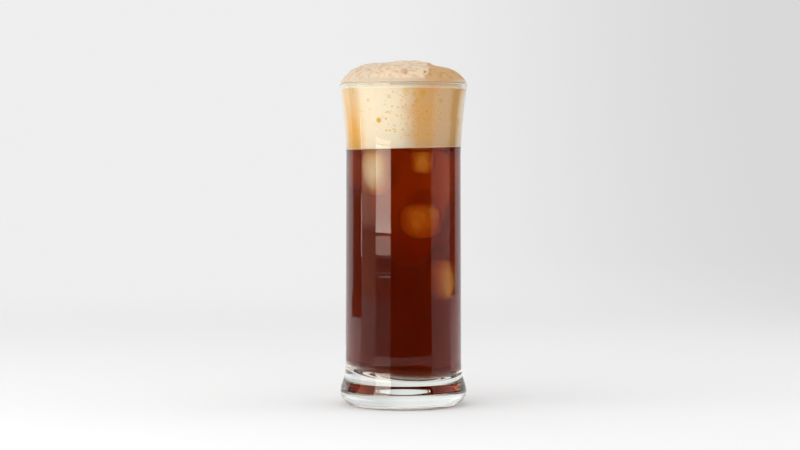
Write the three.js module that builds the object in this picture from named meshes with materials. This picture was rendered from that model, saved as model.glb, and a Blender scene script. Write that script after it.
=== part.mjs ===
// An iced frappe in its tall clear glass: the glass, the dark drink in it and the foam head.
// Millimetres, +Z up, with the origin at the centre of the foot, on the surface that the glass stands on.
// Seen from the front, along +Y, +X is to the right.
import * as THREE from "three";

// The glass, from the outside
const glassHeight = 158;
const bodyRadius = 28.15; // of the straight wall, just under the flare
const bodyGrowth = 0.45; // the wall is this much wider at its foot
const rimFlare = 3.4; // how far the mouth opens past the body
const flareStart = 121;
const flareCurve = 1.7; // exponent of the flare's outline
const beadOut = 0.15; // the thickened band round the mouth
const beadHeight = 156.4;
const beadSpread = 1.3;
const footBulge = 2.55; // how far the heavy base swells past the body
const bulgeHeight = 7; // where the base is widest
const bulgeSpread = 6.35;
const footRadius = 25; // outer edge of the ring that the glass stands on
const footRingWidth = 2.8;
const footHollow = 3.4; // depth of the shallow dome under the base
const footCurve = 1.7; // exponent of the rounded lower edge, 2 being an ellipse

// The glass, from the inside
const wallThickness = 2.1;
const lipThickness = 1.7;
const floorHeight = 10.4; // of the hollow's bottom, at the middle
const bowlDepth = 14; // height of the rounded bottom of the hollow
const bowlCurve = 2.2; // exponent of its outline
const bowlTilt = -0.1; // the pressed floor falls towards +X, in mm for each mm
const tiltFadeHeight = 60; // the tilt dies out by this height

// The drink and its foam
const drinkHeight = 126.3; // of the line between drink and foam, at the middle
const drinkTilt = 0.027; // that line rises towards +X
const gap = 0.3; // between pieces that touch
const foamEdge = 0.3; // thickness of the foam where it ends on the lip
const dome = {
  radius: 31,
  rise: 10, // above the foam's edge, without the crest
  slump: 0.29, // share of the rise that is lost towards the edge
  slumpCurve: 1.2,
  shoulder: 6.7, // a higher number rounds the edge more tightly
  edgeCurve: 0.95,
  lean: -0.014, // the crown falls towards +X, in mm for each mm
};
const crest = { x: 5, radius: 9.2, flatTop: 0.5, height: 0.9 }; // raised patch near the middle
const fold = { x: 11.5, bow: 0.012, width: 1.6, drop: 0.45, end: 32, fade: 20 }; // a step down on its right
const hump = { count: 46, height: 0.75, sunkShare: 0.35, spread: 1.6, spreadRange: 1.8 };

// Steps of the curves
const sectors = 60;
const hollowSteps = 6;
const filletSteps = 5;
const bulgeSteps = 7;
const flareSteps = 6;
const lipSteps = 4;
const bowlSteps = 9;
const domeSteps = 15;

const goldenAngle = Math.PI * (3 - Math.sqrt(5));

// The numbers from a to b in so many equal steps, both ends included.
function steps(a, b, count) {
  return Array.from({ length: count + 1 }, (_, i) => a + ((b - a) * i) / count);
}

function smooth(t) {
  const held = Math.min(1, Math.max(0, t));
  return held * held * (3 - 2 * held);
}

// Outer radius of the glass above its widest line: a straight wall, a swollen base and a flared mouth.
function outerRadius(z) {
  const body = bodyRadius + bodyGrowth * (1 - z / flareStart);
  const bulge = footBulge * Math.exp(-(((z - bulgeHeight) / bulgeSpread) ** 2));
  const up = Math.max(0, (z - flareStart) / (glassHeight - flareStart));
  const bead = beadOut * Math.exp(-(((z - beadHeight) / beadSpread) ** 2));
  return body + bulge + rimFlare * up ** flareCurve + bead;
}

// Inner radius of the glass above its rounded bottom: the wall thins towards the lip.
function innerRadius(z) {
  const up = smooth((z - flareStart) / (glassHeight - flareStart));
  return outerRadius(z) - wallThickness + (wallThickness - lipThickness) * up;
}

// The rounded bottom of the hollow, from its axis outwards, drawn in by an inset.
function bowlOutline(inset) {
  const top = floorHeight + bowlDepth;
  const reach = innerRadius(top) - inset;
  return steps(0, Math.PI / 2, bowlSteps).map((a) => {
    const out = reach * Math.sin(a) ** (2 / bowlCurve);
    const down = (bowlDepth - inset) * Math.cos(a) ** (2 / bowlCurve);
    return new THREE.Vector2(a === 0 ? 0 : out, top - down);
  });
}

// The floor of the hollow leans: this is how much each point there is lifted.
function bowlLift(x, z) {
  const fade = 1 - smooth((z - floorHeight) / (tiltFadeHeight - floorHeight));
  return bowlTilt * x * fade;
}

// A solid of revolution about Z from an outline of (radius, height) points, bottom axis to top axis.
// lift gives how far a point of the surface is then raised.
function turned(outline, lift) {
  const geometry = new THREE.LatheGeometry(outline, sectors);
  geometry.rotateX(Math.PI / 2);
  const place = geometry.getAttribute("position");
  for (let i = 0; i < place.count; i += 1) {
    const row = i % outline.length;
    const x = place.getX(i);
    const y = place.getY(i);
    const z = place.getZ(i);
    place.setZ(i, z + lift(x, y, z, row));
  }
  geometry.computeVertexNormals();
  return geometry;
}

function named(name, geometry, finish) {
  const mesh = new THREE.Mesh(geometry, new THREE.MeshStandardMaterial(finish));
  mesh.name = name;
  return mesh;
}

// The glass: hollowed foot, rounded lower edge, swollen base, wall, lip, and the hollow down to its floor.
function makeGlass() {
  const ringInside = footRadius - footRingWidth;
  const underside = steps(0, Math.PI / 2, hollowSteps).map(
    (a) => new THREE.Vector2(ringInside * Math.sin(a), a === Math.PI / 2 ? 0 : footHollow * Math.cos(a)),
  );
  const widest = outerRadius(bulgeHeight);
  const lowerEdge = steps(0, Math.PI / 2, filletSteps).map((a) => {
    const out = (widest - footRadius) * Math.sin(a) ** (2 / footCurve);
    const down = 1 - Math.cos(a) ** (2 / footCurve);
    return new THREE.Vector2(footRadius + out, bulgeHeight * down);
  });
  const wallFoot = bulgeHeight + 3 * bulgeSpread;
  const bowlTop = floorHeight + bowlDepth;
  const lipBase = glassHeight - lipThickness / 2;
  const outside = [
    ...steps(bulgeHeight, wallFoot, bulgeSteps).slice(1),
    ...steps(flareStart, lipBase, flareSteps),
  ].map((z) => new THREE.Vector2(outerRadius(z), z));
  const lipMiddle = (outerRadius(lipBase) + innerRadius(lipBase)) / 2;
  const lipHalf = (outerRadius(lipBase) - innerRadius(lipBase)) / 2;
  const lip = steps(0, Math.PI, lipSteps)
    .slice(1, -1)
    .map(
      (a) =>
        new THREE.Vector2(
          lipMiddle + lipHalf * Math.cos(a),
          lipBase + (glassHeight - lipBase) * Math.sin(a),
        ),
    );
  const bowl = bowlOutline(0);
  const inside = [
    ...steps(lipBase, flareStart, flareSteps),
    tiltFadeHeight,
    (tiltFadeHeight + bowlTop) / 2,
  ].map((z) => new THREE.Vector2(innerRadius(z), z));
  const outline = [
    ...underside,
    ...lowerEdge,
    ...outside,
    ...lip,
    ...inside,
    ...bowl.reverse(),
  ];
  const insideFrom = outline.length - bowl.length - inside.length;
  return turned(outline, (x, y, z, row) =>
    row >= insideFrom ? bowlLift(x, z) : 0,
  );
}

// The drink fills the hollow up to the foam, clear of the wall.
function makeDrink() {
  const bowlTop = floorHeight + bowlDepth;
  const wallHeights = [(tiltFadeHeight + bowlTop) / 2, tiltFadeHeight, drinkHeight];
  const outline = [
    ...bowlOutline(gap),
    ...wallHeights.map((z) => new THREE.Vector2(innerRadius(z) - gap, z)),
    new THREE.Vector2(0, drinkHeight),
  ];
  const surfaceFrom = outline.length - 2;
  return turned(outline, (x, y, z, row) =>
    row >= surfaceFrom ? drinkTilt * x : bowlLift(x, z),
  );
}

// A repeatable number from 0 to 1 for each whole number.
function scatter(i) {
  const wide = Math.sin(i * 12.9898 + 4.1) * 43758.5453;
  return wide - Math.floor(wide);
}

// Soft humps and dips of the foam, spread over the dome on a sunflower spiral.
const humps = Array.from({ length: hump.count }, (_, i) => {
  const out = dome.radius * Math.sqrt((i + 0.5) / hump.count);
  const turn = i * goldenAngle + scatter(i);
  return {
    x: out * Math.cos(turn),
    y: out * Math.sin(turn),
    height: hump.height * (scatter(i + hump.count) - hump.sunkShare),
    spread: hump.spread + hump.spreadRange * scatter(i + 2 * hump.count),
  };
});

// Height of the foam's top above its edge: a low crown with a crest, a fold and the humps.
function domeHeight(x, y) {
  const q = Math.min(1, Math.hypot(x, y) / dome.radius);
  const roundEdge = (1 - q ** dome.shoulder) ** dome.edgeCurve;
  const crown = dome.rise * (1 - dome.slump * q ** dome.slumpCurve) * roundEdge;
  const fromCrest = Math.hypot(x - crest.x, y) / crest.radius;
  const raised = crest.height * (1 - smooth(fromCrest - crest.flatTop));
  const pastFold = (x - fold.x - fold.bow * y * y) / fold.width;
  const dropped = fold.drop * smooth(pastFold) * smooth((fold.end - x) / fold.fade);
  const bumps = humps.reduce((sum, h) => {
    const far = ((x - h.x) ** 2 + (y - h.y) ** 2) / (2 * h.spread ** 2);
    return sum + h.height * Math.exp(-far);
  }, 0);
  return crown + (1 - q ** 4) * (raised - dropped + bumps + dome.lean * x);
}

// The foam stands on the drink, follows the flared wall, laps over the lip and swells into a dome.
function makeFoam() {
  const bottom = drinkHeight + gap;
  const lap = glassHeight + gap;
  const neck = glassHeight - lipThickness;
  const wall = steps(bottom, neck, flareSteps).map(
    (z) => new THREE.Vector2(innerRadius(z) - gap, z),
  );
  const top = steps(Math.PI / 2, 0, domeSteps).map(
    (a) => new THREE.Vector2(dome.radius * Math.sin(a), lap + foamEdge),
  );
  const outline = [
    new THREE.Vector2(0, bottom),
    ...wall,
    new THREE.Vector2(innerRadius(neck) - gap, lap),
    new THREE.Vector2(dome.radius, lap),
    ...top,
  ];
  const topFrom = outline.length - top.length;
  const bottomRows = 2;
  return turned(outline, (x, y, z, row) => {
    if (row < bottomRows) return drinkTilt * x;
    return row < topFrom ? 0 : domeHeight(x, y);
  });
}

const clearGlass = {
  color: 0xf4f7f6,
  roughness: 0.03,
  metalness: 0,
  transparent: true,
  opacity: 0.35,
};
const coffee = { color: 0x5a1608, roughness: 0.1, metalness: 0 };
const microfoam = { color: 0xe6c79c, roughness: 0.75, metalness: 0 };

const frappe = new THREE.Group();
frappe.add(
  named("glass", makeGlass(), clearGlass),
  named("drink", makeDrink(), coffee),
  named("foam", makeFoam(), microfoam),
);

export default frappe;
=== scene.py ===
import math

import bpy
import numpy as np
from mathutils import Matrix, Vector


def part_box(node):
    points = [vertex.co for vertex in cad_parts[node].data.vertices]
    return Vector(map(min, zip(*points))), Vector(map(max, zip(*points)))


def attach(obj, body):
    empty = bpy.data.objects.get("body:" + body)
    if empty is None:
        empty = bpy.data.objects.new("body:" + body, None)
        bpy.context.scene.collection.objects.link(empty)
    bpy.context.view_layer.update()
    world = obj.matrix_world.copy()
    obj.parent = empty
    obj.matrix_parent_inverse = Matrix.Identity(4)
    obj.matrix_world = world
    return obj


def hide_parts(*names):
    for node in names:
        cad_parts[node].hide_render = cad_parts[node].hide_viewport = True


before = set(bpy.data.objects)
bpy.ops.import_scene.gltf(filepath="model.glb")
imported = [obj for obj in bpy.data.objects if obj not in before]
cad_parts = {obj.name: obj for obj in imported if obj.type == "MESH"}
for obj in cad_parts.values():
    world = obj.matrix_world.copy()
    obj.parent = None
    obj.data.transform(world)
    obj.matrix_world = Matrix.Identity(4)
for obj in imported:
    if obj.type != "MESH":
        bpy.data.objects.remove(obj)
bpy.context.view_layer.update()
mm = 0.001
random = np.random.default_rng(8)
print("frame loaded:", sorted(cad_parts))


# Small helpers that every piece uses

def linear(hexColour):
    # sRGB hex to linear light: a straight foot, then a power curve
    value = np.array([int(hexColour[i:i + 2], 16) for i in (1, 3, 5)]) / 255
    light = np.where(value <= 0.04045, value / 12.92, ((value + 0.055) / 1.055) ** 2.4)
    return (*light.tolist(), 1.0)


def addNode(tree, kind, settings=None, **links):
    # settings are the node's own properties and, by name or number, its sockets; links join its inputs
    node = tree.nodes.new(kind)
    for key, value in (settings or {}).items():
        if isinstance(key, int) or key in node.inputs:
            node.inputs[key].default_value = value
        else:
            setattr(node, key, value)
    for key, source in links.items():
        name = key.replace("_", " ")
        socket = node.inputs[int(name[2:])] if name.startswith("at") else node.inputs[name]
        tree.links.new(source, socket)
    return node


def newMaterial(name):
    material = bpy.data.materials.new(name)
    material.use_nodes = True
    material.node_tree.nodes.clear()
    return material, material.node_tree


def smooth(t):
    t = np.clip(t, 0, 1)
    return t * t * (3 - 2 * t)


def blended(first, second, share):
    # two colours or arrays, mixed point by point
    share = np.asarray(share)[..., None]
    return np.asarray(first) * (1 - share) + np.asarray(second) * share


def hashed(cells, seed):
    # a repeatable number from 0 to 1 for each whole-number corner of a lattice
    wide = np.sin(cells @ np.array([127.1, 311.7, 74.7]) + seed * 19.19) * 43758.5453
    return wide - np.floor(wide)


def softNoise(points, cell, seed=0):
    # value noise: corner values of a lattice of that cell size, blended smoothly, from -1 to 1
    scaled = points / cell
    base = np.floor(scaled)
    blend = smooth(scaled - base)
    total = np.zeros(points.shape[:-1])
    for corner in np.ndindex(2, 2, 2):
        corner = np.array(corner)
        weight = np.prod(np.where(corner, blend, 1 - blend), axis=-1)
        total += weight * hashed(base + corner, seed)
    return 2 * total - 1


def cellNoise(points, cell, seed=0):
    # distance to the nearest of the points strewn one to a lattice cell, in cells
    scaled = points / cell
    base = np.floor(scaled)
    nearest = np.full(points.shape[:-1], 9.0)
    for step in np.ndindex(3, 3, 3):
        home = base + np.array(step) - 1
        spot = home + np.stack([hashed(home, seed + k) for k in (1, 2, 3)], -1)
        nearest = np.minimum(nearest, np.linalg.norm(scaled - spot, axis=-1))
    return nearest


def makeMesh(name, points, faces, materials, body="root"):
    mesh = bpy.data.meshes.new(name)
    mesh.from_pydata(points.tolist(), [], faces)
    mesh.polygons.foreach_set("use_smooth", np.ones(len(mesh.polygons), bool))
    for material in materials:
        mesh.materials.append(material)
    piece = bpy.data.objects.new(name, mesh)
    bpy.context.scene.collection.objects.link(piece)
    if body:
        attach(piece, body)
    return piece


def ringFaces(rows, sectors, first=0):
    # quads between neighbouring rings, running up the rows and on round the sectors
    row, sector = np.meshgrid(np.arange(rows - 1), np.arange(sectors), indexing="ij")
    a = first + row * sectors + sector
    b = first + row * sectors + (sector + 1) % sectors
    return np.stack([a, b, b + sectors, a + sectors], -1).reshape(-1, 4).tolist()


def turnedSolid(rings):
    # rings (rows, sectors, 3), whose first and last row are single points on the axis
    rows, sectors = rings.shape[0] - 2, rings.shape[1]
    points = np.vstack([rings[0, :1], rings[1:-1].reshape(-1, 3), rings[-1, :1]])
    faces = ringFaces(rows, sectors, 1)
    last = len(points) - 1
    around = np.arange(sectors)
    onward = (around + 1) % sectors
    faces += np.stack([np.zeros(sectors, int), 1 + onward, 1 + around], -1).tolist()
    top = 1 + (rows - 1) * sectors
    faces += np.stack([np.full(sectors, last), top + around, top + onward], -1).tolist()
    return points, faces


def joined(solids):
    # several (points, faces) as one, with the face numbers moved on
    starts = np.cumsum([0] + [len(points) for points, _ in solids])
    points = np.vstack([points for points, _ in solids])
    faces = [[start + v for v in face] for start, (_, some) in zip(starts, solids) for face in some]
    return points, faces


def turned(radius, height, sectors):
    # a profile carried once round the Z axis: (radius * cos, radius * sin, height)
    angle = np.linspace(0, 2 * np.pi, sectors, endpoint=False)
    x = radius[:, None] * np.cos(angle)
    y = radius[:, None] * np.sin(angle)
    z = np.broadcast_to(height[:, None], x.shape)
    return np.stack([x, y, z], -1)


# Camera: a long lens a little above the drink's top, tipped slightly down

view = {
    "lens": 100,  # in mm, as the sensor is
    "sensor": 36,
    "distance": 1.093,
    "height": 0.1264,
    "tipDown": 1.985,  # in degrees
    "aside": -0.0017,
}


def makeCamera():
    lens = bpy.data.cameras.new("camera")
    lens.lens = view["lens"]
    lens.sensor_width = view["sensor"]
    lens.clip_start = 0.05
    lens.clip_end = 20
    camera = bpy.data.objects.new("camera", lens)
    camera.location = (view["aside"], -view["distance"], view["height"])
    camera.rotation_euler = (math.radians(90 - view["tipDown"]), 0, 0)
    bpy.context.scene.collection.objects.link(camera)
    bpy.context.scene.camera = camera


makeCamera()
print("camera placed")


# The glass

glass = {
    "height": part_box("glass")[1].z,
    "bodyRadius": 28.15 * mm,
    "bodyGrowth": 0.45 * mm,  # the wall widens by this towards its foot
    "rimFlare": 3.4 * mm,
    "flareStart": 121 * mm,
    "flareCurve": 1.7,
    "beadOut": 0.15 * mm,
    "beadHeight": 156.4 * mm,
    "beadSpread": 1.3 * mm,
    "footBulge": 2.55 * mm,
    "bulgeHeight": 7 * mm,
    "bulgeSpread": 6.35 * mm,
    "footRadius": 25 * mm,
    "footRingWidth": 2.8 * mm,
    "footHollow": 3.6 * mm,  # depth of the dome under the foot
    "footCurve": 1.7,
    "wall": 2.1 * mm,
    "lip": 1.7 * mm,
    "floorHeight": 10.4 * mm,
    "bowlDepth": 14 * mm,
    "bowlCurve": 2.2,
    "bowlTilt": -0.1,
    "tiltFadeHeight": 60 * mm,
    "index": 1.5,
    "ripple": 0.006 * mm,  # height of the faint waves that pressing leaves
    "bowlRows": 40,
    "floorRows": 24,  # those of the bowl's rows that make its floor
    "sectors": 192,
}


def outerRadius(z):
    # straight wall, plus a bell curve at the foot, a power curve at the mouth and a fine bead
    g = glass
    body = g["bodyRadius"] + g["bodyGrowth"] * (1 - z / g["flareStart"])
    bulge = g["footBulge"] * np.exp(-((z - g["bulgeHeight"]) / g["bulgeSpread"]) ** 2)
    up = np.clip((z - g["flareStart"]) / (g["height"] - g["flareStart"]), 0, None)
    bead = g["beadOut"] * np.exp(-((z - g["beadHeight"]) / g["beadSpread"]) ** 2)
    return body + bulge + g["rimFlare"] * up ** g["flareCurve"] + bead


def innerRadius(z):
    g = glass
    up = smooth((z - g["flareStart"]) / (g["height"] - g["flareStart"]))
    return outerRadius(z) - g["wall"] + (g["wall"] - g["lip"]) * up


def bowlProfile(inset, steps):
    # a superellipse from the axis out to the wall
    g = glass
    a = np.linspace(0, np.pi / 2, steps)
    top = g["floorHeight"] + g["bowlDepth"]
    out = (innerRadius(top) - inset) * np.sin(a) ** (2 / g["bowlCurve"])
    down = (g["bowlDepth"] - inset) * np.cos(a) ** (2 / g["bowlCurve"])
    down[-1] = 0
    return out, top - down


def bowlLift(rings):
    # the floor leans: each point of the hollow rises with -x, less and less up the wall
    g = glass
    span = g["tiltFadeHeight"] - g["floorHeight"]
    fade = 1 - smooth((rings[..., 2] - g["floorHeight"]) / span)
    return g["bowlTilt"] * rings[..., 0] * fade


def makeGlass(materials):
    # one closed profile: foot, rounded lower edge, outside, lip, inside and bowl, in that order
    g = glass
    ringInside = g["footRadius"] - g["footRingWidth"]
    t = np.linspace(0, 1, 20)
    under = (ringInside * np.sin(t * np.pi / 2), g["footHollow"] * np.cos(t * np.pi / 2))
    a = np.linspace(0, np.pi / 2, 24)
    widest = outerRadius(g["bulgeHeight"])
    edge = (g["footRadius"] + (widest - g["footRadius"]) * np.sin(a) ** (2 / g["footCurve"]),
            g["bulgeHeight"] * (1 - np.clip(np.cos(a), 0, 1) ** (2 / g["footCurve"])))
    lipBase = g["height"] - g["lip"] / 2
    z = np.linspace(g["bulgeHeight"], lipBase, 150)[1:]
    outside = (outerRadius(z), z)
    a = np.linspace(0, np.pi, 14)[1:-1]
    middle = (outerRadius(lipBase) + innerRadius(lipBase)) / 2
    half = (outerRadius(lipBase) - innerRadius(lipBase)) / 2
    lip = (middle + half * np.cos(a), lipBase + g["lip"] / 2 * np.sin(a))
    z = np.linspace(lipBase, g["floorHeight"] + g["bowlDepth"], 110)[:-1]
    inside = (innerRadius(z), z)
    bowlOut, bowlUp = bowlProfile(0, g["bowlRows"])
    bowl = (bowlOut[::-1], bowlUp[::-1])
    radius, height = np.hstack([under, edge, outside, lip, inside, bowl])
    rings = turned(radius, height, g["sectors"])
    hollowRows = len(inside[0]) + len(bowl[0])
    rings[-hollowRows:, :, 2] += bowlLift(rings[-hollowRows:])
    points, faces = turnedSolid(rings)
    piece = makeMesh("tumbler", points, faces, materials)
    row = (np.array([max(face) for face in faces]) - 1) // g["sectors"]
    wetted = row > len(radius) - hollowRows
    floor = row > len(radius) - g["floorRows"]
    piece.data.polygons.foreach_set("material_index", wetted.astype(np.int32) + floor)
    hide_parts("glass")


def sodaLimeGlass():
    # soda-lime glass, pressed and fire polished: quite clear, with faint level waves in its skin
    material, tree = newMaterial("soda_lime_glass")
    place = addNode(tree, "ShaderNodeTexCoord")
    flat = addNode(tree, "ShaderNodeMapping", {"Scale": (40, 40, 260)}, Vector=place.outputs["Object"])
    waves = addNode(tree, "ShaderNodeTexNoise", {"Scale": 1.0, "Detail": 1.0}, Vector=flat.outputs[0])
    bump = addNode(tree, "ShaderNodeBump", {"Strength": 1.0, "Distance": glass["ripple"]},
                   Height=waves.outputs["Fac"])
    # iron in the sand leaves a trace of green
    shader = addNode(tree, "ShaderNodeBsdfPrincipled", {
        "Base Color": linear("#f9fcfa"), "Roughness": 0.0, "IOR": glass["index"],
        "Transmission Weight": 1.0}, Normal=bump.outputs[0])
    addNode(tree, "ShaderNodeOutputMaterial", Surface=shader.outputs[0])
    return material


def wettedGlass(name, mirrored, clear):
    # the same glass where drink and foam wet it, which leaves hardly any reflection there; the floor is
    # mirrored, because light skims it, and greyed, a painted shade that darkens the base as seen through it
    material, tree = newMaterial(name)
    shader = addNode(tree, "ShaderNodeBsdfPrincipled", {
        "Base Color": (clear, clear, clear, 1), "Roughness": 0.0, "IOR": glass["index"],
        "Transmission Weight": 1.0, "Specular Tint": (mirrored, mirrored, mirrored, 1)})
    addNode(tree, "ShaderNodeOutputMaterial", Surface=shader.outputs[0])
    return material


makeGlass([sodaLimeGlass(), wettedGlass("wetted_glass_wall", 0.0, 1.0),
           wettedGlass("wetted_glass_floor", 1.0, 0.3)])
print("glass made")


# The ice, wholly sunk in the drink: half melted cubes, and a lump of them frozen together further back

ice = {
    "dents": 0.05,
    "grip": 0.1 * mm,  # the ice is this much larger than its hollows in the drink
    "sectors": 48,
    "rows": 40,
    "shells": 14,  # a cloud of air is drawn as this many thin skins, one inside another
    "cloudDents": 0.3,
    "inside": 0.92,  # clouds end this far out in their ice
    "afloat": 125.5,  # the foam holds the cubes down to this height
}

# in mm and degrees: centre, half sizes, turn, lean and squareness (2 is a ball), then its clouds
cubes = [
    {"at": (7.8, -14.6, 120.6), "half": (5.2, 5.2, 7.2), "turn": 28, "lean": 3, "square": 2.8,
     "clouds": [((7.4, -14.6, 118.6), (3.6, 4.2, 7.4))]},
    {"at": (-12.2, -15, 115), "half": (7.2, 6.0, 12), "turn": -38, "lean": -3, "square": 3,
     "clouds": [((-12, -15.4, 117), (6.4, 5.4, 10.5))]},
    {"at": (7.2, -11.8, 91), "half": (9, 6.4, 9), "turn": 24, "lean": 6, "square": 2.8,
     "clouds": [((4.8, -11.6, 90.8), (4.2, 4.2, 7.6)), ((12, -10.4, 96), (4.4, 3.6, 4))]},
    {"at": (16.4, -6.4, 62), "half": (7, 5.8, 10.6), "turn": 62, "lean": -5, "square": 2.8,
     "clouds": [((16, -5.8, 63), (5.4, 4.6, 9)), ((18, -7, 58), (2.6, 3, 6))]},
    {"at": (-19.2, -0.4, 116), "half": (4.8, 5.8, 10), "turn": -4, "lean": 3, "square": 3, "clouds": []},
    {"at": (1.8, 10.2, 108), "half": (14.4, 12.0, 20), "turn": 3, "lean": 0, "square": 5,
     "tail": 2.05, "taper": 0.6,  # its lower half is this many times as long, and narrows by this share
     "clouds": [((-6, 15, 114), (4.5, 4, 6)), ((6, 14, 100), (5, 4, 6.5))]},
]


def cubeFrame(cube):
    # turned about the upright axis, then leaned about X: rows are the cube's own axes
    turn, lean = math.radians(cube["turn"]), math.radians(cube["lean"])
    c, s = math.cos(turn), math.sin(turn)
    spin = np.array([[c, s, 0], [-s, c, 0], [0, 0, 1]])
    c, s = math.cos(lean), math.sin(lean)
    tip = np.array([[1, 0, 0], [0, c, s], [0, -s, c]])
    return spin @ tip


def ballGrid(rows, sectors):
    # directions from the lower pole up to the upper one
    up = np.linspace(-np.pi / 2, np.pi / 2, rows)[:, None]
    around = np.linspace(0, 2 * np.pi, sectors, endpoint=False)[None]
    way = np.stack([np.cos(up) * np.cos(around), np.cos(up) * np.sin(around),
                    np.sin(up) + 0 * around], -1)
    way[0], way[-1] = (0, 0, -1), (0, 0, 1)
    return way


def stretched(unit, cube):
    # a lump has a tail: its lower half is drawn out and tapers
    down = np.clip(-unit[..., 2:], 0, None)
    across = unit[..., :2] * (1 - cube.get("taper", 0) * down ** 1.5)
    return np.concatenate([across, unit[..., 2:] + down - down * cube.get("tail", 1)], -1)


def cubeSurface(cube, inset):
    # a ball's directions stretched until |x|^p + |y|^p + |z|^p is 1, then sized, dented and placed
    way = ballGrid(ice["rows"], ice["sectors"])
    p = cube["square"]
    unit = way / (np.abs(way) ** p).sum(-1, keepdims=True) ** (1 / p)
    dented = unit * (1 + ice["dents"] * softNoise(unit + cube["at"][0], 0.8, 5))[..., None]
    local = stretched(dented, cube) * (np.array(cube["half"]) * mm - inset)
    spots = local @ cubeFrame(cube) + np.array(cube["at"]) * mm
    spots[..., 2] = np.minimum(spots[..., 2], ice["afloat"] * mm - inset)
    return turnedSolid(spots)


def cloudSkins(cube):
    # dented balls one inside another about the cloud's middle, held inside the cube
    way = ballGrid(14, 20)
    p, axes = cube["square"], cubeFrame(cube)
    skins = []
    for middle, reach in cube["clouds"]:
        for share in np.linspace(1.12, 0.2, ice["shells"]):
            lumpy = 1 + ice["cloudDents"] * softNoise(way + 3 * share + middle[0], 0.7, 9)
            spots = way * (share * lumpy)[..., None] * reach + middle
            local = (spots - cube["at"]) @ axes.T / cube["half"]
            out = (np.abs(local) ** p).sum(-1) ** (1 / p)
            held = local * np.minimum(1, ice["inside"] / np.maximum(out, 1e-6))[..., None]
            spots = held * cube["half"] @ axes + cube["at"]
            spots[..., 2] = np.minimum(spots[..., 2], ice["afloat"] - 0.4 - 0.6 * (1 - share))
            skins.append(turnedSolid(spots * mm))
    return skins


def makeIce(clearIce, cloudyIce):
    makeMesh("iceCubes", *joined([cubeSurface(cube, 0) for cube in cubes]), [clearIce])
    skins = [skin for cube in cubes for skin in cloudSkins(cube)]
    makeMesh("iceClouds", *joined(skins), [cloudyIce])


def waterIce():
    # water ice, frozen in a tray and melting: clear, and hardly seen but for its lighter window
    material, tree = newMaterial("water_ice")
    shader = addNode(tree, "ShaderNodeBsdfPrincipled", {
        "Base Color": (1, 1, 1, 1), "Roughness": 0.12, "IOR": 1.31,
        "Transmission Weight": 1.0, "Specular Tint": (0, 0, 0, 1)})
    addNode(tree, "ShaderNodeOutputMaterial", Surface=shader.outputs[0])
    return material


def trappedAir():
    # tiny air bubbles frozen in the middle of a cube: a soft white fog, thickest in its middle
    material, tree = newMaterial("trapped_air_in_ice")
    shader = addNode(tree, "ShaderNodeBsdfPrincipled", {
        "Base Color": linear("#fbfbf9"), "Roughness": 1.0, "IOR": 1.31, "Specular IOR Level": 0.0,
        "Alpha": 0.085})
    addNode(tree, "ShaderNodeOutputMaterial", Surface=shader.outputs[0])
    return material


makeIce(waterIce(), trappedAir())
print("ice made")


# The drink

drink = {
    "top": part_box("drink")[1].z - 0.7 * mm,
    "tilt": 0.027,
    "intoWall": 0.12 * mm,
    "intoFoam": 0.25 * mm,
    "sectors": 160,
    "absorb": (49, 155, 370),  # per metre of coffee, for red, green and blue
    "hazeInset": 0.6 * mm,  # of the haze from the wall
    "scatter": 14.0,  # per metre of haze
}


def makeDrink(material):
    # the bowl and wall's own profile, a little into the glass, closed by a level that leans with the tilt
    d = drink
    bowlOut, bowlUp = bowlProfile(-d["intoWall"], glass["bowlRows"])
    z = np.linspace(glass["floorHeight"] + glass["bowlDepth"], d["top"] + d["intoFoam"], 60)[1:]
    side = innerRadius(z) + d["intoWall"]
    inward = side[-1] * np.linspace(1, 0, 12)[1:]
    radius = np.hstack([bowlOut, side, inward])
    height = np.hstack([bowlUp, z, np.full(len(inward), z[-1])])
    rings = turned(radius, height, d["sectors"])
    rings[..., 2] += bowlLift(rings)
    high = smooth((rings[..., 2] - 0.1) / (z[-1] - 0.1))
    rings[..., 2] += d["tilt"] * rings[..., 0] * high
    solids = [turnedSolid(rings)]
    # the drink has a hollow for each cube, so its colour stops where ice begins
    for cube in cubes:
        points, faces = cubeSurface(cube, ice["grip"])
        solids.append((points, [face[::-1] for face in faces]))
    piece = makeMesh("coffee", *joined(solids), [material])
    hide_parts("drink")


def icedCoffee():
    # strong instant coffee, filtered clear: near black in bulk, red-brown where light passes through
    material, tree = newMaterial("iced_coffee")
    density = max(drink["absorb"])
    shader = addNode(tree, "ShaderNodeBsdfPrincipled", {
        "Base Color": (1, 1, 1, 1), "Roughness": 0.0, "IOR": 1.333,
        "Transmission Weight": 1.0, "Specular Tint": (0, 0, 0, 1)})
    depth = addNode(tree, "ShaderNodeVolumeAbsorption", {
        "Color": (*[1 - a / density for a in drink["absorb"]], 1), "Density": density})
    addNode(tree, "ShaderNodeOutputMaterial", Surface=shader.outputs[0], Volume=depth.outputs[0])
    return material


def makeHaze(material):
    # a body a little inside the drink, by the same bowl and wall
    d = drink
    bowlOut, bowlUp = bowlProfile(d["hazeInset"], 24)
    bowlTop = glass["floorHeight"] + glass["bowlDepth"]
    z = np.linspace(bowlTop, d["top"] - d["hazeInset"] - 0.8 * mm, 20)[1:]
    side = innerRadius(z) - d["hazeInset"]
    inward = side[-1] * np.linspace(1, 0, 5)[1:]
    rings = turned(np.hstack([bowlOut, side, inward]),
                   np.hstack([bowlUp, z, np.full(len(inward), z[-1])]), 96)
    rings[..., 2] += bowlLift(rings)
    makeMesh("coffeeHaze", *turnedSolid(rings), [material])


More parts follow.
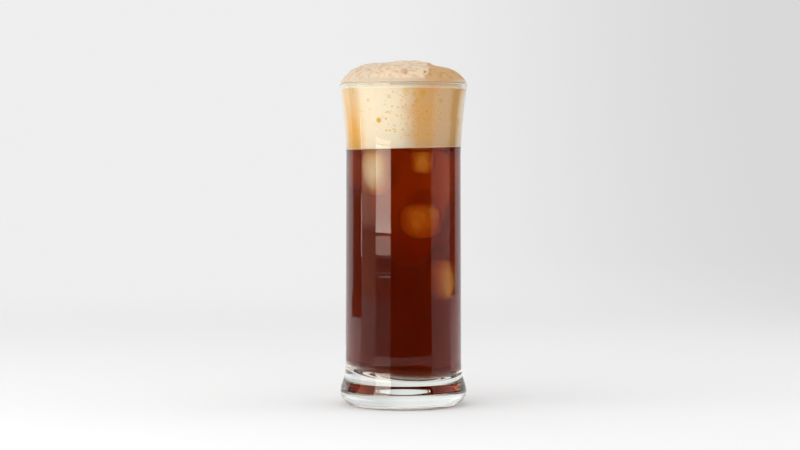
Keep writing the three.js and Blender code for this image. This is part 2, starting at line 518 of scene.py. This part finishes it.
def coffeeFines():
    # fine oil and coffee solids afloat in the drink, which scatter a little light back out of it
    material, tree = newMaterial("coffee_oils_and_fines")
    haze = addNode(tree, "ShaderNodeVolumeScatter", {
        "Color": (1, 1, 1, 1), "Density": drink["scatter"], "Anisotropy": 0.2})
    addNode(tree, "ShaderNodeOutputMaterial", Volume=haze.outputs[0])
    return material


makeDrink(icedCoffee())
makeHaze(coffeeFines())
print("drink made")


# The foam, in mm where a list says so

foam = {
    "bottom": drink["top"],
    "intoWall": 0.18 * mm,
    "lipGap": 0.5 * mm,  # the foam draws back from the glass under the lip
    "lipGapHeight": 2.6 * mm,
    "domeRadius": 31 * mm,
    "overLip": 0.25 * mm,
    "edge": 0.3 * mm,
    "rise": 10,
    "slump": 0.29,
    "slumpCurve": 1.2,
    "shoulder": 6.7,
    "edgeCurve": 0.95,
    "lean": -0.014,  # the crown falls towards +X
    "crest": {"x": 5, "radius": 9.2, "flatTop": 0.5, "height": 0.9},
    "fold": {"x": 11.3, "width": 0.8, "drop": 0.5, "end": 32, "fade": 20},
    "sectors": 400,
    "wetCream": "#e7bb69",
    "sideCream": "#efe5d3",
    "lipLight": "#cdbda9",
    "lipTan": "#c4a17c",
    "bottomLight": "#fbe6c4",  # painted light: a pale line where the foam meets drink and glass, which lifts the shade there
    "foldShadeTan": "#cfa676",
    "creviceShade": "#cda270",
    "ridge": "#e6d3b8",
    "hollow": "#dab256",
    "pit": "#a0491c",
    "leftShade": 0.16,  # the dome is this much darker at its left
    "dimple": 0.14 * mm,  # greatest depth of a bubble against the glass
}

# the foam's side is cream, with darker, more orange bands round it, partly runs of coffee and partly painted
# shading: turn of a band's middle in degrees from the front, reach to each side, width of its soft edge,
# colour, and its share at the lip and at the drink
sideBands = [
    (38, 46, 22, "#dabf9a", 1.0, 1.0),
    (21.5, 13.5, 7, "#ddb780", 1.0, 1.0),
    (60, 12, 8, "#d4b078", 1.0, 0.9),
    (-62, 22, 16, "#e7bb69", 0.48, 1.0),
    (180, 40, 40, "#e3bf7c", 0.4, 1.0),
]

# bubbles against the glass, as seen from the front: across, height, width, share of the full painted shade
frontBubbles = [
    (-11.8, 139.8, 2.5, 1.0), (-8.4, 140.8, 0.8, 0.8), (-17, 149.4, 1.5, 0.45), (-7, 151.1, 1.9, 0.4),
    (-16.1, 145.1, 1.4, 0.25), (-21.1, 144.2, 0.8, 0.6), (-19.9, 144.2, 1.0, 0.4),
    (-24.2, 153.5, 1.5, 0.5), (0.7, 153.8, 3.0, 0.3), (8.9, 152.6, 3.4, 0.8), (5, 151.8, 2.0, 0.45),
    (6.2, 149, 2.0, 0.6), (4.6, 146.8, 1.7, 0.6), (10.8, 143.7, 1.7, 0.95), (17.5, 149, 2.5, 0.6),
    (16.6, 144.4, 1.2, 0.5), (12, 139.8, 1.1, 0.7), (-0.5, 135.3, 1.1, 0.6), (4.1, 134.1, 0.9, 0.6),
    (-24.3, 155, 0.7, 1.0),
]

# spots on the dome: x, y, radius, depth, share of the pit's colour
domeSpots = [(10.4, -24.6, 0.62, 0.5, 1.0), (0.4, -26.4, 2.0, 0.1, 0.3)]


def throughGlass(across, height):
    # where a mark that is seen so far across the glass lies on the foam, as a turn: a ray bends into the wall
    outer, inner, n = outerRadius(height), innerRadius(height), glass["index"]
    return math.asin(across / outer) - math.asin(across / (n * outer)) + math.asin(across / (n * inner))


def sideBubbles():
    # the front ones by their places, the others strewn round the sides and back: turn, height, width, colour
    front = [(throughGlass(a * mm, h * mm), h * mm, w * mm, c) for a, h, w, c in frontBubbles]
    count = 70
    strewn = zip(np.radians(random.uniform(65, 295, count)), random.uniform(130, 154, count) * mm,
                 (0.6 + 2 * random.random(count) ** 3) * mm, random.uniform(0.3, 0.9, count))
    # and fine specks in front
    count = 150
    specks = zip(np.radians(random.uniform(-22, 52, count)), random.uniform(131, 154, count) * mm,
                 random.uniform(0.4, 0.8, count) * mm, random.uniform(0.5, 1.3, count))
    return front + list(strewn) + list(specks)


def sideMarks(turn, height):
    # for each point of the side: how deep its bubble is, as a ball's cap, and how much painted shade it holds
    depth = np.zeros_like(turn)
    colour = np.zeros_like(turn)
    for at, up, width, share in sideBubbles():
        swing = np.abs((turn - at + np.pi) % (2 * np.pi) - np.pi)
        far = np.hypot(swing * innerRadius(up), height - up) / (width / 2)
        deepest = min(foam["dimple"], 0.3 * width)
        depth = np.maximum(depth, deepest * np.sqrt(np.clip(1 - far ** 2, 0, 1)))
        colour = np.maximum(colour, share * smooth((1.25 - far) / 0.5))
    return depth, colour


def sideColour(turn, height):
    # cream, blended with each band in its turn, whose edges wander slightly: partly runs of coffee, partly
    # painted shading
    place = np.stack([np.cos(turn), np.sin(turn), height / (12 * mm)], -1)
    wander = np.degrees(turn) + 2.5 * softNoise(place, 0.5, 11) + 1.5 * softNoise(place, 0.15, 12)
    high = smooth((height / mm - 130) / 24)
    colour = linear(foam["sideCream"])[:3]
    for at, reach, soft, darkMark, atLip, atDrink in sideBands:
        far = np.abs((wander - at + 180) % 360 - 180)
        share = smooth((reach - far) / soft) * (atDrink + (atLip - atDrink) * high)
        colour = blended(colour, linear(darkMark)[:3], share)
    return colour


def domeRelief(x, y):
    # x and y in mm: humps, wrinkles where a warped noise crosses zero, and fine grain; with them a mask of
    # the creases and pores, where shade is painted
    p = np.stack([x, y, np.zeros_like(x)], -1)
    warp = np.stack([softNoise(p, 5, 21), softNoise(p, 5, 22), np.zeros_like(x)], -1)
    humps = 0.4 * softNoise(p, 8, 1) + 0.22 * softNoise(p, 3.4, 2)
    crease = 1 - smooth(np.abs(softNoise(p + 1.5 * warp, 3.0, 3)) / 0.5)
    fine = softNoise(p + 0.8 * warp, 1.3, 6)
    pore = 1 - smooth(cellNoise(p, 1.3, 7) / 0.4)
    low = 0.12 * crease + 0.12 * fine + 0.16 * pore
    creviceShade = np.clip(0.3 * crease + 0.5 * fine + 0.5 * pore, 0, 1)
    return humps - low + 0.06 * softNoise(p, 0.7, 4), creviceShade


def domeShape(x, y):
    # x and y in mm: a low crown with a round edge, a crest, a fold that steps down, relief and spots
    f, crest, fold = foam, foam["crest"], foam["fold"]
    q = np.clip(np.hypot(x, y) * mm / f["domeRadius"], 0, 1)
    roundEdge = (1 - q ** f["shoulder"]) ** f["edgeCurve"]
    crown = f["rise"] * (1 - f["slump"] * q ** f["slumpCurve"]) * roundEdge
    fromCrest = np.hypot(x - crest["x"], y) / crest["radius"]
    raised = crest["height"] * (1 - smooth(fromCrest - crest["flatTop"]))
    wander = softNoise(np.stack([x, y, np.zeros_like(x)], -1), 3.0, 31) + 0.04 * (y + 20)
    pastFold = smooth((x - fold["x"] - wander) / fold["width"])
    dropped = fold["drop"] * pastFold * smooth((fold["end"] - x) / fold["fade"])
    relief, creviceShade = domeRelief(x, y)
    sunk = np.zeros_like(x)
    darkMark = np.zeros_like(x)
    for atX, atY, radius, depth, share in domeSpots:
        far = np.hypot(x - atX, y - atY) / radius
        sunk = np.maximum(sunk, depth * smooth(1.2 - far))
        darkMark = np.maximum(darkMark, share * smooth((1.3 - far) / 0.6))
    height = crown + (1 - q ** 8) * (raised - dropped + relief + f["lean"] * x) - sunk
    return height, creviceShade, pastFold, darkMark


def makeFoam(material):
    # one closed profile: base, side behind the glass, the pocket under the lip, then the dome to its middle
    f = foam
    neck = glass["height"] - f["lipGapHeight"]
    z = np.linspace(f["bottom"], neck, 112)
    side = innerRadius(z) + f["intoWall"]
    base = np.linspace(0, 1, 10)[:-1] * side[0]
    lap = glass["height"] + f["overLip"]
    setBack = innerRadius(glass["height"] - glass["lip"]) - f["lipGap"]
    a = np.linspace(np.pi / 2, 0, 122)
    edgeOut = f["domeRadius"]
    top = edgeOut * np.sin(a)
    top[-1] = 0
    pocketOut = np.array([setBack, setBack, setBack + 0.5 * mm, edgeOut - 0.5 * mm, edgeOut])
    pocketUp = np.array([neck + 0.6 * mm, lap - 0.5 * mm, lap, lap, lap])
    radius = np.hstack([base, side, pocketOut, top])
    height = np.hstack([np.full(len(base), f["bottom"]), z, pocketUp,
                        np.full(len(a), lap + f["edge"])])
    rings = turned(radius, height, f["sectors"])
    low = len(base) + len(side)
    near = 1 - smooth((rings[:low, :, 2] - f["bottom"]) / (8 * mm))
    rings[:low, :, 2] += drink["tilt"] * rings[:low, :, 0] * near

    flank = rings[len(base):low]
    turn = np.arctan2(flank[..., 0], -flank[..., 1])
    depth, bubble = sideMarks(turn, flank[..., 2])
    flank[..., :2] *= 1 - (depth / np.linalg.norm(flank[..., :2], axis=-1))[..., None]

    dome = rings[-len(a):]
    rise, creviceShade, pastFold, darkMark = domeShape(dome[..., 0] / mm, dome[..., 1] / mm)
    dome[..., 2] += rise * mm
    rings[-1] = rings[-1, 0]

    tint = np.ones((*rings.shape[:2], 4))
    tint[..., :3] = linear(f["wetCream"])[:3]
    # painted light along the foam's lowest 0.7 mm
    litBottom = 1 - smooth((flank[..., 2] - flank[:1, :, 2]) / (0.7 * mm))
    sideTint = blended(sideColour(turn, flank[..., 2]), linear(f["bottomLight"])[:3], litBottom)
    # painted shade in the bubbles against the glass
    tint[len(base):low, :, :3] = np.clip(blended(sideTint, linear(f["hollow"])[:3], bubble), 0.03, 1)
    # painted light: the foam under the lip is pale, standing in for the lip's reflection and lifting the
    # pocket's shade; round the front right it is darker and tanner
    rightFront = smooth((np.degrees(turn[-1]) + 5) / 40) * smooth((80 - np.degrees(turn[-1])) / 40)
    lipTint = blended(linear(f["lipLight"])[:3], linear(f["lipTan"])[:3], rightFront)
    tint[low:-len(a), :, :3] = lipTint
    # painted shade: creases and pores darker and tanner than the ridges
    topTint = blended(linear(f["ridge"])[:3], linear(f["creviceShade"])[:3], creviceShade)
    # painted shade: past the fold the dome turns darker and tanner, as its right side falls away from the
    # light
    topTint = blended(topTint, topTint * linear(f["foldShadeTan"])[:3] / linear(f["ridge"])[:3], pastFold)
    leftward = smooth(-dome[..., 0] / (24 * mm))
    topTint = topTint * (1 - f["leftShade"] * leftward)[..., None]
    topTint = blended(topTint, linear(f["pit"])[:3], darkMark)
    edge = np.linalg.norm(dome[..., :2], axis=-1) / f["domeRadius"]
    tint[-len(a):, :, :3] = blended(topTint, lipTint, smooth((edge - 0.95) / 0.045))

    points, faces = turnedSolid(rings)
    piece = makeMesh("foamHead", points, faces, [material])
    colours = np.vstack([tint[0, :1], tint[1:-1].reshape(-1, 4), tint[-1, :1]])
    layer = piece.data.color_attributes.new("foamTint", "FLOAT_COLOR", "POINT")
    layer.data.foreach_set("color", colours.astype(np.float32).ravel())
    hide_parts("foam")


def coffeeFoam():
    # whipped coffee foam: a dense mass of fine bubbles that glows a little where light sinks in
    material, tree = newMaterial("coffee_foam")
    place = addNode(tree, "ShaderNodeTexCoord")
    tint = addNode(tree, "ShaderNodeAttribute", {"attribute_name": "foamTint"})
    # painted shade in pinhead bubbles about 0.8 mm apart, in clusters some 6 mm wide
    cells = addNode(tree, "ShaderNodeTexVoronoi", {"Scale": 1200.0}, Vector=place.outputs["Object"])
    cluster = addNode(tree, "ShaderNodeTexNoise", {"Scale": 160.0, "Detail": 1.0},
                      Vector=place.outputs["Object"])
    few = addNode(tree, "ShaderNodeMapRange", {
        "interpolation_type": "SMOOTHSTEP", "From Min": 0.45, "From Max": 0.62, "To Max": 0.3},
        Value=cluster.outputs["Fac"])
    speck = addNode(tree, "ShaderNodeMapRange", {
        "interpolation_type": "SMOOTHSTEP", "From Min": 0.1, "From Max": 0.3, "To Min": 1.0, "To Max": 0.0},
        Value=cells.outputs["Distance"])
    share = addNode(tree, "ShaderNodeMath", {"operation": "MULTIPLY"},
                    at0=few.outputs[0], at1=speck.outputs[0])
    dotted = addNode(tree, "ShaderNodeMix", {"data_type": "RGBA", 7: linear(foam["hollow"])},
                     Factor=share.outputs[0], at6=tint.outputs["Color"])
    # and a grain of bubbles half a millimetre apart
    grain = addNode(tree, "ShaderNodeTexNoise", {"Scale": 2000.0, "Detail": 2.0},
                    Vector=place.outputs["Object"])
    bump = addNode(tree, "ShaderNodeBump", {"Strength": 0.5, "Distance": 0.06 * mm},
                   Height=grain.outputs["Fac"])
    shader = addNode(tree, "ShaderNodeBsdfPrincipled", {
        "Roughness": 0.55, "IOR": 1.33,
        "Subsurface Weight": 1.0, "Subsurface Radius": (1.0, 0.6, 0.35), "Subsurface Scale": 1.6 * mm},
        Base_Color=dotted.outputs[2], Normal=bump.outputs[0])
    addNode(tree, "ShaderNodeOutputMaterial", Surface=shader.outputs[0])
    return material


makeFoam(coffeeFoam())
print("foam made")


# The studio: a pale table that sweeps up into a round backdrop, with a softbox and cards

studio = {
    "wallRadius": 1.9,
    "wallHeight": 1.6,
    "bend": 0.5,
    "leftLight": 0.86,  # brightness of the sweep to the left and right of the middle
    "rightLight": 0.69,
    "ceilingLight": 0.8,
    "paper": 0.86,  # share of light that the table gives back
    "tableGlow": 0.14,  # and its own glow, as a share of the sweep's
}


def paperSweep():
    # matt white background paper: lit as paper near the glass, and further off evenly bright, falling off
    # to the right and top
    material, tree = newMaterial("background_paper")
    place = addNode(tree, "ShaderNodeTexCoord")
    parts = addNode(tree, "ShaderNodeSeparateXYZ", Vector=place.outputs["Object"])
    across = addNode(tree, "ShaderNodeMapRange", {
        "interpolation_type": "SMOOTHSTEP", "From Min": -0.1, "From Max": 0.5,
        "To Min": studio["leftLight"], "To Max": studio["rightLight"]}, Value=parts.outputs["X"])
    high = addNode(tree, "ShaderNodeMapRange", {
        "interpolation_type": "SMOOTHSTEP", "From Min": 0.9, "From Max": 1.5,
        "To Min": 1.0, "To Max": studio["ceilingLight"]}, Value=parts.outputs["Z"])
    light = addNode(tree, "ShaderNodeMath", {"operation": "MULTIPLY"},
                    at0=across.outputs[0], at1=high.outputs[0])
    far = addNode(tree, "ShaderNodeVectorMath", {"operation": "LENGTH"}, at0=place.outputs["Object"])
    even = addNode(tree, "ShaderNodeMapRange", {
        "interpolation_type": "SMOOTHSTEP", "From Min": 0.3, "From Max": 0.9}, Value=far.outputs["Value"])
    paper = addNode(tree, "ShaderNodeBsdfDiffuse", {"Color": (*[studio["paper"]] * 3, 1)})
    ownShare = addNode(tree, "ShaderNodeMath", {"operation": "MULTIPLY", 1: studio["tableGlow"]},
                       at0=across.outputs[0])
    own = addNode(tree, "ShaderNodeEmission", Strength=ownShare.outputs[0])
    table = addNode(tree, "ShaderNodeAddShader", at0=paper.outputs[0], at1=own.outputs[0])
    glow = addNode(tree, "ShaderNodeEmission", Strength=light.outputs[0])
    both = addNode(tree, "ShaderNodeMixShader", Fac=even.outputs[0],
                   at1=table.outputs[0], at2=glow.outputs[0])
    addNode(tree, "ShaderNodeOutputMaterial", Surface=both.outputs[0])
    return material


def makeSweep():
    # a floor disc, a quarter round and an upright wall, carried round the Z axis
    s = studio
    a = np.linspace(0, np.pi / 2, 30)
    flat = np.linspace(0, s["wallRadius"] - s["bend"], 20)[:-1]
    radius = np.hstack([flat, s["wallRadius"] - s["bend"] + s["bend"] * np.sin(a), [s["wallRadius"], 0]])
    height = np.hstack([np.zeros(len(flat)), s["bend"] * (1 - np.cos(a)), [s["wallHeight"]] * 2])
    points, faces = turnedSolid(turned(radius, height, 96))
    sweep = makeMesh("sweep", points, faces, [paperSweep()], None)


def glowing(name, strength, fade=None, tone="#ffffff"):
    # an even light; fade gives the two heights between which it comes up from nothing
    material, tree = newMaterial(name)
    glow = addNode(tree, "ShaderNodeEmission", {"Color": linear(tone), "Strength": strength})
    if fade:
        place = addNode(tree, "ShaderNodeTexCoord")
        parts = addNode(tree, "ShaderNodeSeparateXYZ", Vector=place.outputs["Object"])
        rise = addNode(tree, "ShaderNodeMapRange", {
            "interpolation_type": "SMOOTHSTEP", "From Min": fade[0], "From Max": fade[1],
            "To Max": strength}, Value=parts.outputs["Z"])
        tree.links.new(rise.outputs[0], glow.inputs["Strength"])
    addNode(tree, "ShaderNodeOutputMaterial", Surface=glow.outputs[0])
    return material


def showTo(piece, seenBy):
    # the kinds of ray that see a card
    for ray in ("camera", "diffuse", "glossy", "transmission", "shadow"):
        setattr(piece, "visible_" + ray, ray in seenBy)


def card(name, fromTurn, toTurn, low, high, strength, seenBy=("glossy",), fade=None, radius=0.9,
         tone="#ffffff"):
    # an upright card bent round the glass: turn 0 is towards the camera, + is to the right
    a = np.radians(np.linspace(fromTurn, toTurn, 25))
    z = np.linspace(low, high, 9)
    x = radius * np.sin(a)[:, None] * np.ones(len(z))
    y = -radius * np.cos(a)[:, None] * np.ones(len(z))
    points = np.stack([x, y, np.broadcast_to(z, x.shape)], -1).reshape(-1, 3)
    i, j = np.meshgrid(np.arange(len(a) - 1), np.arange(len(z) - 1), indexing="ij")
    k = i * len(z) + j
    faces = np.stack([k, k + 1, k + len(z) + 1, k + len(z)], -1).reshape(-1, 4).tolist()
    showTo(makeMesh(name, points, faces, [glowing(name, strength, fade, tone)], None), seenBy)


def tableShade(name, fromTurn, toTurn, near, far, strength):
    # a flat ring sector just over the table, whose far part shows darker in the glass
    a = np.radians(np.linspace(fromTurn, toTurn, 25))
    points = np.array([(r * np.sin(t), -r * np.cos(t), 0.5 * mm) for r in (near, far) for t in a])
    k = np.arange(len(a) - 1)
    faces = np.stack([k, k + len(a), k + len(a) + 1, k + 1], -1).tolist()
    showTo(makeMesh(name, points, faces, [glowing(name, strength)], None), ("glossy",))


makeSweep()
warm = "#fff0e2"
blush = "#ffdccb"
light = ("diffuse", "shadow")
# what the glass mirrors: softboxes at the front left, panels and their stands, black flags, a card right
card("softboxLeft", -91, -56, 0.056, 0.62, 2.0, fade=(0.05, 0.072), tone="#ffc8ae")
card("softboxRight", -56, -25, 0.0673, 0.62, 6.2, tone=warm)
card("lowPanel", -56, -25, 0.059, 0.0673, 7.4, tone=warm)
card("panelGap", -56, -25, 0.0556, 0.059, 0.6, tone=blush)
card("lowPanelFoot", -56, -25, 0.0401, 0.0556, 4.0, tone=blush)
card("standBar", -56, -25, 0.0358, 0.037, 2.0, radius=0.899)
card("standFoot", -56, -25, 0.0212, 0.0222, 2.0, radius=0.899)
card("softboxEdge", -92.2, -90.8, 0.036, 0.09, 5.0, radius=0.898)
card("underLeft", -91, -56, -0.01, 0.056, 0.75, tone="#ffccb0")
card("underRight", -56, -25, -0.01, 0.0401, 0.25, tone=blush)
card("frontFlag", -25, 56, -0.1, 1.4, 0.0)
card("leftFlag", -119, -91, -0.1, 0.086, 0.0)
card("leftFlagTop", -121, -91, 0.086, 1.4, 0.12)
card("rightCard", 56, 104, 0.0, 0.7, 0.55)
card("rightFlag", 104, 124, -0.1, 1.4, 0.0)
# what lights it, straight and through the glass
card("softLight", -91, -25, 0.03, 0.62, 3.4, light, (0.035, 0.105), radius=0.91)
card("softThrough", -91, -25, 0.03, 0.62, 3.8, ("transmission",), (0.035, 0.105), radius=0.912)
card("frontLight", -25, 70, 0.12, 0.9, 1.3, light, radius=0.91)
card("frontThrough", -25, 70, 0.12, 0.9, 2.0, ("transmission",), radius=0.912)
card("rightLight", 70, 118, 0.05, 0.9, 1.5, (*light, "transmission"), radius=0.91)
# darker stretches of the table, as the glass mirrors it
tableShade("tableFront", -25, 56, 0.325, 0.9, 0.0)
tableShade("tableNear", -25, 56, 0.05, 0.325, 0.35)
tableShade("tableFrontLeft", -56, -25, 0.325, 0.9, 0.28)
tableShade("tableSide", -91, -56, 0.1, 0.9, 0.6)
tableShade("tableLeft", -123, -91, 0.62, 0.9, 0.0)
tableShade("tableRight", 56, 104, 0.1, 0.9, 0.5)
print("studio made")

scene = bpy.context.scene
scene.view_settings.view_transform = "Standard"
scene.cycles.max_bounces = 48
scene.cycles.transmission_bounces = 40
scene.cycles.glossy_bounces = 8
scene.cycles.diffuse_bounces = 20
scene.cycles.volume_bounces = 4
scene.cycles.blur_glossy = 0.0
scene.cycles.transparent_max_bounces = 64
